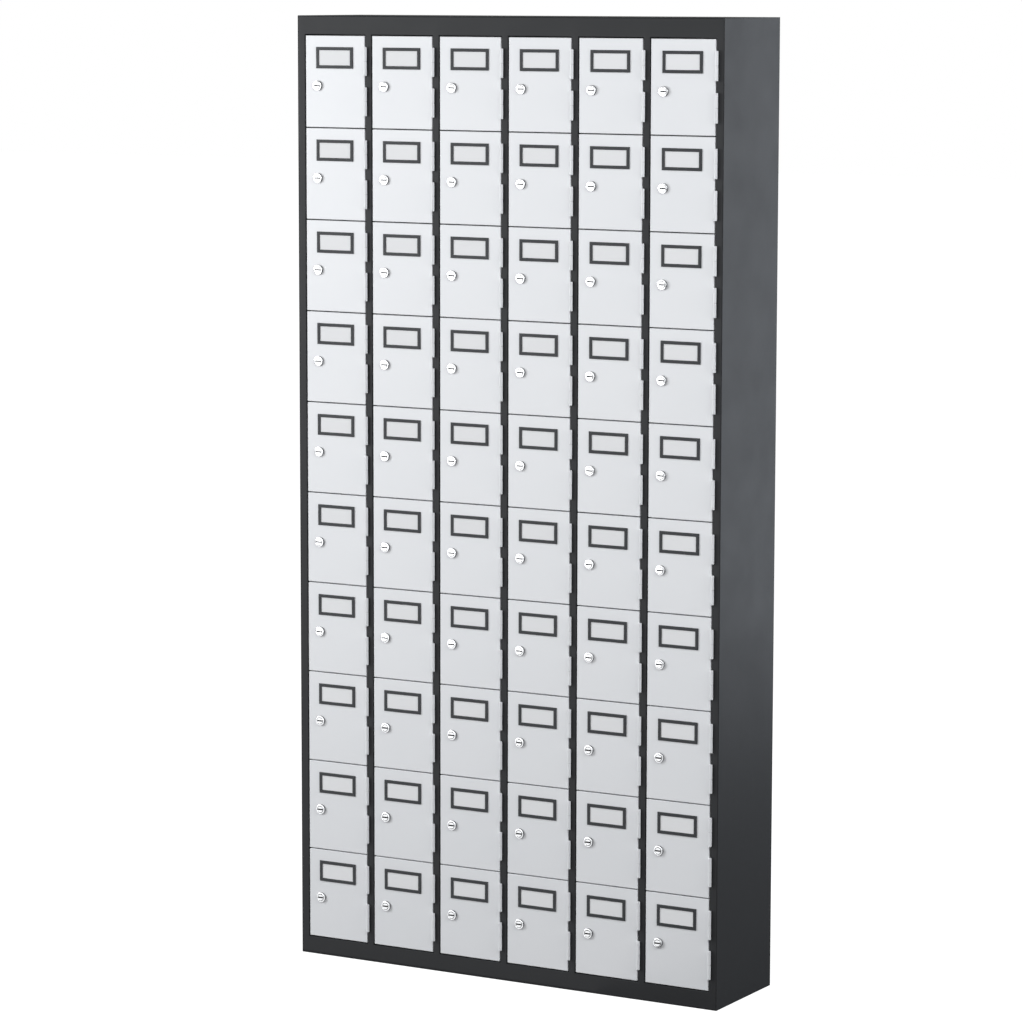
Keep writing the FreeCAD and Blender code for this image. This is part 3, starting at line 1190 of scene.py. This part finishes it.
@dataclass
class CamLock:
    """A cam lock: flanged housing, keyed plug, nut, cam and screw."""

    face_dish: float = 0.3 * MM
    flange_round: float = 1.1 * MM
    barrel_radius: float = 7.9 * MM
    slot_length: float = 10.6 * MM
    slot_width: float = 2.0 * MM
    slot_depth: float = 3.0 * MM
    plug_gap: float = 0.25 * MM
    lip: float = 0.4 * MM
    steps: int = 28
    rim_steps: int = 4
    nut_chamfer: float = 0.6 * MM
    cam_round: float = 0.35 * MM
    cam_steps: int = 16
    cam_foot: float = 1.15
    dome_foot: float = 0.35
    dome_draw: float = 0.4
    socket_share: float = 0.38
    socket_floor: float = 0.3
    # painted shade on the chrome: how dark the flange's side and its foot against the door are made
    painted_side_shade: float = 0.55
    painted_base_shade: float = 0.9
    shade_slack: float = 0.1 * MM
    housing_box: tuple[Vector, Vector] = field(init=False)
    plug_box: tuple[Vector, Vector] = field(init=False)
    centre: Vector = field(init=False)
    flange_radius: float = field(init=False)
    plug_radius: float = field(init=False)

    def __post_init__(self) -> None:
        """Read the lock's axis and its pieces' boxes from the frame."""
        self.housing_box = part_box("lock_housing")
        self.plug_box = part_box("lock_plug")
        low, high = self.housing_box
        self.centre = Vector(((low.x + high.x) / 2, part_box("door_panel")[0].y, (low.z + high.z) / 2))
        self.flange_radius = (high.x - low.x) / 2
        self.plug_radius = (self.plug_box[1].x - self.plug_box[0].x) / 2

    def _along(self, y: float) -> float:
        """A height on the axis, counted inwards from the door's face."""
        return y - self.centre.y

    def housing(self) -> BMesh:
        """The flange, with a rounded rim and a shallow dish round the plug, and the barrel.

        Returns:
            Their mesh.
        """
        low, high = self.housing_box
        front, back = self._along(low.y), self._along(high.y)
        big, bore, n = self.flange_radius, self.plug_radius + self.plug_gap, self.flange_round
        rim = big - 2.0 * n
        dish = front + self.face_dish
        outline = [(bore, back), (bore, dish + self.lip), (bore + self.lip, dish)]
        outline += [(rim - self.face_dish, dish), (rim, front)]
        for part in range(1, self.rim_steps + 1):
            angle = part / self.rim_steps * QUARTER
            outline.append((big - n + n * math.sin(angle), front + n - n * math.cos(angle)))
        outline += [(big, 0.0), (self.barrel_radius, 0.0), (self.barrel_radius, back), (bore, back)]
        bm = bmesh.new()
        turn(bm, outline, self.centre, INWARD, RIGHT, self.steps)
        # painted shade: the gap round the plug and the flange's side and foot are darkened
        return mark_wear_and_shade(closed(bm), self._painted_shade)

    def plug(self) -> BMesh:
        """The plug, with a level key slot sunk into its face and its rim broken.

        Returns:
            Its mesh.
        """
        low, high = self.plug_box
        bm = bmesh.new()
        front = Vector((self.centre.x, low.y, self.centre.z))
        face = upright(front)
        radius = self.plug_radius
        bmesh.ops.create_circle(bm, cap_ends=True, segments=self.steps, radius=radius, matrix=face)
        disc = bm.faces[:]
        half_length, half_width = self.slot_length / 2, self.slot_width / 2
        cut_lines(bm, disc, [front - UP * half_width, front + UP * half_width], UP)
        band = [f for f in bm.faces if abs(f.calc_center_median().z - front.z) < half_width / 2]
        cut_lines(bm, band, [front - RIGHT * half_length, front + RIGHT * half_length], RIGHT)
        rim = [e for e in bm.edges if e.is_boundary]
        bmesh.ops.edgeloop_fill(bm, edges=draw_out(bm, rim, INWARD * (high.y - low.y)))
        press(bm, [nearest(bm.faces, front)], INWARD * self.slot_depth)
        closed(bm)
        soften(bm, front_corners(bm, low.y), self.lip, 1)
        # painted shade: the key slot and the gap round the plug are darkened
        return mark_wear_and_shade(bm, self._painted_shade)

    def _painted_shade(self, point: Vector) -> float:
        """How much painted shade darkens the chrome at a point.

        Args:
            point: A point on the housing or the plug.

        Returns:
            1 inside the key slot and in the gap round the plug, less on the flange's side, 0 elsewhere.
        """
        across, up = abs(point.x - self.centre.x), abs(point.z - self.centre.z)
        radius = math.hypot(across, up)
        sunk = point.y > self.plug_box[0].y + self.lip / 2
        slack = self.shade_slack
        in_slot = across < self.slot_length / 2 + slack and up < self.slot_width / 2 + slack
        in_gap = abs(radius - self.plug_radius) < self.plug_gap + slack / 2
        if sunk and (in_slot or in_gap):
            return 1.0
        if radius > self.flange_radius - slack / 2:
            return self.painted_base_shade if point.y > self.centre.y - slack else self.painted_side_shade
        return 0.0

    def nut(self) -> BMesh:
        """The hexagonal nut behind the pan, chamfered on both faces.

        Returns:
            Its mesh.
        """
        low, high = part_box("lock_nut")
        radius = (high.x - low.x) / 2
        front, back = self._along(low.y), self._along(high.y)
        n = self.nut_chamfer
        outline = (
            (self.barrel_radius, front),
            (radius - n, front),
            (radius, front + n / 2),
            (radius, back - n / 2),
            (radius - n, back),
            (self.barrel_radius, back),
            (self.barrel_radius, front),
        )
        bm = bmesh.new()
        turn(bm, outline, self.centre, INWARD, RIGHT, 6)
        return closed(bm)

    def cam(self) -> BMesh:
        """The cam: a bar that hangs from a round boss, its edges broken.

        Returns:
            Its mesh.
        """
        low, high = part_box("lock_cam")
        radius = (high.x - low.x) / 2
        bm = bmesh.new()
        centre = Vector((self.centre.x, low.y, self.centre.z))
        face = upright(centre)
        bmesh.ops.create_circle(bm, cap_ends=True, segments=self.cam_steps, radius=radius, matrix=face)
        for vert in [v for v in bm.verts if v.co.z < centre.z - SAME]:
            aside = vert.co.x - centre.x
            vert.co.z = low.z
            vert.co.x = centre.x + math.copysign(min(radius, abs(aside) * self.cam_foot), aside)
        press(bm, bm.faces[:], INWARD * (high.y - low.y), keep=True)
        closed(bm)
        rims = [e for e in bm.edges if abs(e.verts[0].co.y - e.verts[1].co.y) < SAME]
        soften(bm, [e for e in rims if e.calc_face_angle(0.0) > CORNER], self.cam_round, 1)
        return closed(bm)

    def screw(self) -> BMesh:
        """The cam screw's domed head, with a socket.

        Returns:
            Its mesh.
        """
        low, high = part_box("cam_screw")
        radius = (high.x - low.x) / 2
        base = self._along(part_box("lock_cam")[1].y)
        top = self._along(high.y)
        dome = top - base
        foot = self.dome_foot
        outline = [(0.0, base), (radius, base), (radius, base + dome * foot)]
        for part in range(1, self.rim_steps):
            angle = part / self.rim_steps * QUARTER
            across = radius - radius * self.dome_draw * (1 - math.cos(angle))
            outline.append((across, base + dome * (foot + (1 - foot) * math.sin(angle))))
        socket, floor = radius * self.socket_share, base + dome * self.socket_floor
        outline += [(socket, top), (socket, floor), (0.0, floor)]
        bm = bmesh.new()
        turn(bm, outline, self.centre, INWARD, RIGHT, self.cam_steps)
        return closed(bm)


@dataclass
class Doors:
    """All the doors, each with its hinges' halves, card holder, card and lock."""

    shop: Workshop
    grid: DoorGrid
    hinges: Hinges
    panel: DoorPanel = field(default_factory=DoorPanel)
    holder: CardHolder = field(default_factory=CardHolder)
    lock: CamLock = field(default_factory=CamLock)

    def build(self) -> None:
        """Make every door's pieces."""
        shop, lock = self.shop, self.lock
        panel = shop.joined("door", [self.panel.shape(lock.centre), self.hinges.door_halves()])
        holder = shop.mesh("card_holder", self.holder.shape())
        card = shop.mesh("card", self.holder.card())
        parts = (
            ("panel", panel, Slot.DOOR),
            ("card_holder", holder, Slot.HOLDER),
            ("card", card, Slot.CARD),
            ("lock", shop.joined("lock", [lock.housing(), lock.plug()]), Slot.CHROME),
            ("lock_works", shop.joined("lock_works", [lock.nut(), lock.cam(), lock.screw()]), Slot.STEEL),
        )
        for column, row in self.grid.places():
            if self.grid.is_pattern(column, row):
                continue
            body = self.grid.body(column, row)
            shift = self.grid.shift(column, row)
            for part, data, slot in parts:
                shop.piece(f"{part}_c{column}_r{row}", data, slot, body, [body], shift)
        self._pattern(panel, holder, card)

    def _pattern(self, panel: bpy.types.Mesh, holder: bpy.types.Mesh, card: bpy.types.Mesh) -> None:
        """Make the pattern door, whose lock turns on a body of its own.

        Args:
            panel: The door's panel and hinge halves.
            holder: Its card holder.
            card: Its card.
        """
        place = f"c{self.grid.pattern_column}_r{self.grid.pattern_row}"
        door, turning = f"door_{place}", f"lock_{place}"
        still = Vector()
        shop, lock = self.shop, self.lock
        shop.piece(f"panel_{place}", panel, Slot.DOOR, door, ["door_panel", "door_hinge_halves"], still)
        shop.piece(f"card_holder_{place}", holder, Slot.HOLDER, door, ["card_holder"], still)
        shop.piece(f"card_{place}", card, Slot.CARD, door, ["card_insert"], still)
        parts = (
            ("lock_housing", lock.housing, Slot.CHROME, door),
            ("lock_nut", lock.nut, Slot.STEEL, door),
            ("lock_plug", lock.plug, Slot.CHROME, turning),
            ("lock_cam", lock.cam, Slot.STEEL, turning),
            ("cam_screw", lock.screw, Slot.STEEL, turning),
        )
        for node, shape, slot, body in parts:
            shop.make(f"{node}_{place}", shape(), slot, body, node)


# ---- Carcass --------------------------------------------------------------------------------------


@dataclass
class FrontFrame:
    """The welded front frame: one face with six tall openings, its edges folded back."""

    end_stile: float = 16.4 * MM
    mullion: float = 14.0 * MM
    sheet: float = 1.2 * MM
    bend: float = 1.3 * MM
    bend_segments: int = 3

    def _stretches(self, grid: DoorGrid) -> list[tuple[float, float]]:
        """Where the openings are.

        Args:
            grid: Where the doors are.

        Returns:
            Each opening's left and right edge.
        """
        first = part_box("base_panel")[0].x + self.end_stile
        width = grid.column_pitch - self.mullion
        lefts = [first + i * grid.column_pitch for i in range(grid.columns)]
        return [(left, left + width) for left in lefts]

    def shape(self, grid: DoorGrid) -> BMesh:
        """The frame, for a grid of doors.

        Args:
            grid: Where the doors are.

        Returns:
            Its mesh.
        """
        low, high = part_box("frame_rails")
        sill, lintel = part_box("frame_stiles")[0].z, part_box("frame_stiles")[1].z
        openings = self._stretches(grid)
        centre, half = (low + high) / 2, (high - low) / 2
        bm = bmesh.new()
        face = upright(Vector((centre.x, low.y, centre.z))) @ Matrix.Diagonal((half.x, half.z, 1.0, 1.0))
        bmesh.ops.create_grid(bm, x_segments=1, y_segments=1, size=1.0, matrix=face)
        cut_lines(bm, bm.faces[:], [Vector((x, low.y, 0.0)) for pair in openings for x in pair], RIGHT)
        cut_lines(bm, bm.faces[:], [Vector((0.0, low.y, z)) for z in (sill, lintel)], UP)
        middles = {f: f.calc_center_median() for f in bm.faces}
        between = [f for f, middle in middles.items() if sill < middle.z < lintel]
        clear = [f for f in between if any(a < middles[f].x < b for a, b in openings)]
        bmesh.ops.delete(bm, geom=clear, context="FACES")
        draw_out(bm, [e for e in bm.edges if e.is_boundary], INWARD * (high.y - low.y))
        bmesh.ops.recalc_face_normals(bm, faces=bm.faces)
        soften(bm, front_corners(bm, low.y), self.bend, self.bend_segments)
        face_front(bm)
        bmesh.ops.solidify(bm, geom=bm.faces[:], thickness=self.sheet)
        return closed(bm)


@dataclass
class Carcass:
    """The casing, the front frame, the shelves and the sheets behind them."""

    shop: Workshop
    grid: DoorGrid
    front: FrontFrame = field(default_factory=FrontFrame)
    edge_round: float = 0.35 * MM
    hem_depth: float = 8.0 * MM
    hem_sheet: float = 1.0 * MM
    flat_angle: float = 0.01

    def _sheet(self, low: Vector, high: Vector) -> BMesh:
        """A flat sheet with its cut edges broken.

        Args:
            low: Its lowest corner.
            high: Its highest corner.

        Returns:
            Its mesh.
        """
        bm = bmesh.new()
        slab(bm, low, high)
        soften(bm, bm.edges[:], self.edge_round)
        return closed(bm)

    def _side(self, side: Side) -> None:
        """Make one side panel.

        Args:
            side: Which side it is on.
        """
        low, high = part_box("side_panels")
        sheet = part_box("base_panel")[1].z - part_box("base_panel")[0].z
        if side is Side.LEFT:
            high = Vector((low.x + sheet, high.y, high.z))
        else:
            low = Vector((high.x - sheet, low.y, low.z))
        name = f"{side.name.lower()}_side_panel"
        self.shop.make(name, self._sheet(low, high), Slot.CARCASS, "root", "side_panels")

    def _shelves(self) -> BMesh:
        """The shelves, with the front edge of each folded under into a hem.

        Returns:
            Their mesh.
        """
        bm = bmesh.new()
        bm.from_mesh(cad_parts["shelves"].data)
        bmesh.ops.remove_doubles(bm, verts=bm.verts, dist=MERGE)
        bmesh.ops.dissolve_limit(bm, angle_limit=self.flat_angle, verts=bm.verts, edges=bm.edges)
        front = min(v.co.y for v in bm.verts)
        line = front + self.hem_depth
        cut_lines(bm, bm.faces[:], [Vector((0.0, line, 0.0))], INWARD)
        under = [f for f in facing(bm, -UP) if f.calc_center_median().y < line]
        press(bm, under, -UP * self.hem_sheet)
        return closed(bm)

    def build(self) -> None:
        """Make the carcass's pieces and dress the CAD nodes that stay in view."""
        shop = self.shop
        front = shop.mesh("front_frame", self.front.shape(self.grid))
        shop.piece("front_frame", front, Slot.CARCASS, "root", ["frame_rails", "frame_stiles"])
        for node in ("top_panel", "base_panel"):
            shop.make(f"{node}_sheet", self._sheet(*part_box(node)), Slot.CARCASS, "root", node)
        for side in Side:
            self._side(side)
        shop.make("hemmed_shelves", self._shelves(), Slot.CARCASS, "root", "shelves")
        for node in ("back_panel", "partitions"):
            shop.dress(node, Slot.CARCASS)
        shop.dress("hinge_pins", Slot.STEEL)


# ---- Studio ---------------------------------------------------------------------------------------


@dataclass(frozen=True)
class SoftLight:
    """A soft box: where it hangs from the locker's middle, its aim, its size and its strength."""

    name: str
    offset: tuple[float, float, float]
    aim: tuple[float, float, float]
    size: tuple[float, float]
    watts: float
    colour: tuple[float, float, float] = (1.0, 1.0, 1.0)
    mirrored_only: bool = False


@dataclass
class Studio:
    """A pale floor, soft light and the camera."""

    azimuth: float = math.radians(29.93)
    elevation: float = math.radians(7.52)
    roll: float = math.radians(0.10)
    distance: float = 7.496
    aim_right: float = 0.0163
    aim_down: float = 0.0100
    lens: float = 140.06
    sensor: float = 36.0
    nearest_seen: float = 0.1
    farthest_seen: float = 200.0
    floor_size: float = 60.0
    floor_tiles: int = 8
    floor_drop: float = 0.2 * MM
    floor_shades: tuple[float, float] = (0.20, 0.22)
    floor_glow: float = 0.98
    seen_sky: float = 1.0
    soft_sky: float = 0.305
    mirrored_sky: float = 0.30
    lights: tuple[SoftLight, ...] = (
        SoftLight("left_key", (-3.5, -2.6, 1.05), (0.05, 0.0, 0.35), (1.9, 1.9), 128.0, (0.96, 0.98, 1.0)),
        SoftLight("right_key", (2.2, -2.4, 2.0), (0.1, 0.0, 0.4), (1.8, 1.8), 42.0, (0.96, 0.98, 1.0)),
        SoftLight("rim", (2.8, -0.75, 0.7), (0.2, 0.0, 0.45), (1.2, 1.6), 23.0, (0.96, 0.98, 1.0)),
        SoftLight("side", (1.45, 1.9, 0.3), (0.46, 0.0, 0.25), (2.1, 2.1), 31.0, (0.86, 0.92, 1.0)),
        SoftLight("card", (-1.9, -3.3, 0.1), (0.0, 0.0, 0.0), (2.4, 2.4), 48.0, mirrored_only=True),
        SoftLight(
            "floor_card", (-1.5, -2.2, -0.91), (-1.5, -2.2, 1.0), (3.4, 4.2), 42.0, mirrored_only=True
        ),
    )

    def _floor_finish(self) -> bpy.types.Material:
        """A pale matt floor that stays near white in view and throws little light back up.

        Returns:
            The material.
        """
        material = bpy.data.materials.new("studio_floor")
        material.use_nodes = True
        tree = material.node_tree
        shader = tree.nodes["Principled BSDF"]
        put(shader, {"Roughness": 0.9, "Specular IOR Level": 0.1, "Emission Color": (1.0, 1.0, 1.0, 1.0)})
        where = tree.nodes.new("ShaderNodeTexCoord")
        noise = tree.nodes.new("ShaderNodeTexNoise")
        put(noise, {"Scale": 0.6})
        shades = colour_mix(tree)
        for number, shade in zip(MIX_COLOURS, self.floor_shades):
            shades.inputs[number].default_value = (shade, shade, shade, 1.0)
        path = tree.nodes.new("ShaderNodeLightPath")
        glow = tree.nodes.new("ShaderNodeMath")
        glow.operation = "MULTIPLY"
        glow.inputs[1].default_value = self.floor_glow
        wire(
            tree,
            (where, "Object", noise, "Vector"),
            (noise, "Fac", shades, MIX_FACTOR),
            (shades, MIXED_COLOUR, shader, "Base Color"),
            (path, "Is Camera Ray", glow, 0),
            (glow, "Value", shader, "Emission Strength"),
        )
        return material

    def _floor(self) -> None:
        """Lay the floor under the locker."""
        bm = bmesh.new()
        tiles = self.floor_tiles
        bmesh.ops.create_grid(bm, x_segments=tiles, y_segments=tiles, size=self.floor_size / 2)
        bmesh.ops.translate(bm, verts=bm.verts, vec=UP * (CAD_BOX[0].z - self.floor_drop))
        data = bpy.data.meshes.new("floor")
        bm.to_mesh(data)
        bm.free()
        data.materials.append(self._floor_finish())
        floor = bpy.data.objects.new("floor", data)
        bpy.context.scene.collection.objects.link(floor)

    def _sky(self) -> None:
        """A surround that looks white, lights softly and is dimmer in reflections."""
        world = bpy.data.worlds.new("surround")
        world.use_nodes = True
        tree = world.node_tree
        shade = tree.nodes["Background"]
        put(shade, {"Color": (1.0, 1.0, 1.0, 1.0)})
        path = tree.nodes.new("ShaderNodeLightPath")
        mirrored = tree.nodes.new("ShaderNodeMapRange")
        put(mirrored, {"To Min": self.soft_sky, "To Max": self.mirrored_sky})
        seen = tree.nodes.new("ShaderNodeMapRange")
        put(seen, {"To Max": self.seen_sky})
        wire(
            tree,
            (path, "Is Glossy Ray", mirrored, "Value"),
            (path, "Is Camera Ray", seen, "Value"),
            (mirrored, "Result", seen, "To Min"),
            (seen, "Result", shade, "Strength"),
        )
        bpy.context.scene.world = world

    def _hang(self, light: SoftLight, middle: Vector) -> None:
        """Hang one soft box and turn it to its aim.

        Args:
            light: The soft box.
            middle: The locker's middle.
        """
        data = bpy.data.lights.new(light.name, "AREA")
        data.shape = "RECTANGLE"
        data.size, data.size_y = light.size
        data.energy = light.watts
        data.color = light.colour
        lamp = bpy.data.objects.new(light.name, data)
        lamp.location = middle + Vector(light.offset)
        aim = middle + Vector(light.aim) - lamp.location
        lamp.rotation_mode = "QUATERNION"
        lamp.rotation_quaternion = aim.to_track_quat("-Z", "Y")
        lamp.visible_camera = False
        lamp.visible_diffuse = not light.mirrored_only
        bpy.context.scene.collection.objects.link(lamp)

    def _camera(self, middle: Vector) -> None:
        """Stand the camera off the front face, a little to the right and above the middle.

        Args:
            middle: The locker's middle.
        """
        face = Vector((middle.x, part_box("door_panel")[0].y, middle.z))
        aim = face + RIGHT * self.aim_right - UP * self.aim_down
        level = math.cos(self.elevation)
        along, aside = math.cos(self.azimuth) * level, math.sin(self.azimuth) * level
        back = Vector((aside, -along, math.sin(self.elevation)))
        data = bpy.data.cameras.new("camera")
        data.lens = self.lens
        data.sensor_width = self.sensor
        data.clip_start = self.nearest_seen
        data.clip_end = self.farthest_seen
        camera = bpy.data.objects.new("camera", data)
        camera.location = aim + back * self.distance
        level_view = (-back).to_track_quat("-Z", "Y")
        camera.rotation_mode = "QUATERNION"
        camera.rotation_quaternion = level_view @ Matrix.Rotation(self.roll, 3, "Z").to_quaternion()
        bpy.context.scene.collection.objects.link(camera)
        bpy.context.scene.camera = camera

    def build(self) -> None:
        """Set the whole studio up."""
        middle = (CAD_BOX[0] + CAD_BOX[1]) / 2
        self._camera(middle)
        self._floor()
        self._sky()
        for light in self.lights:
            self._hang(light, middle)
        bpy.context.scene.view_settings.view_transform = "Standard"


def main() -> None:
    """Build the studio and the locker."""
    logging.basicConfig(level=logging.INFO, format="%(message)s")
    Studio().build()
    effects = Effects()
    shop = Workshop({finish.slot: finish.material(effects) for finish in FINISHES})
    grid = DoorGrid()
    hinges = Hinges()
    Carcass(shop, grid).build()
    hinges.on_frame(shop, grid)
    Doors(shop, grid, hinges).build()
    log.info("%d pieces made", shop.made)


if __name__ == "__main__":
    main()
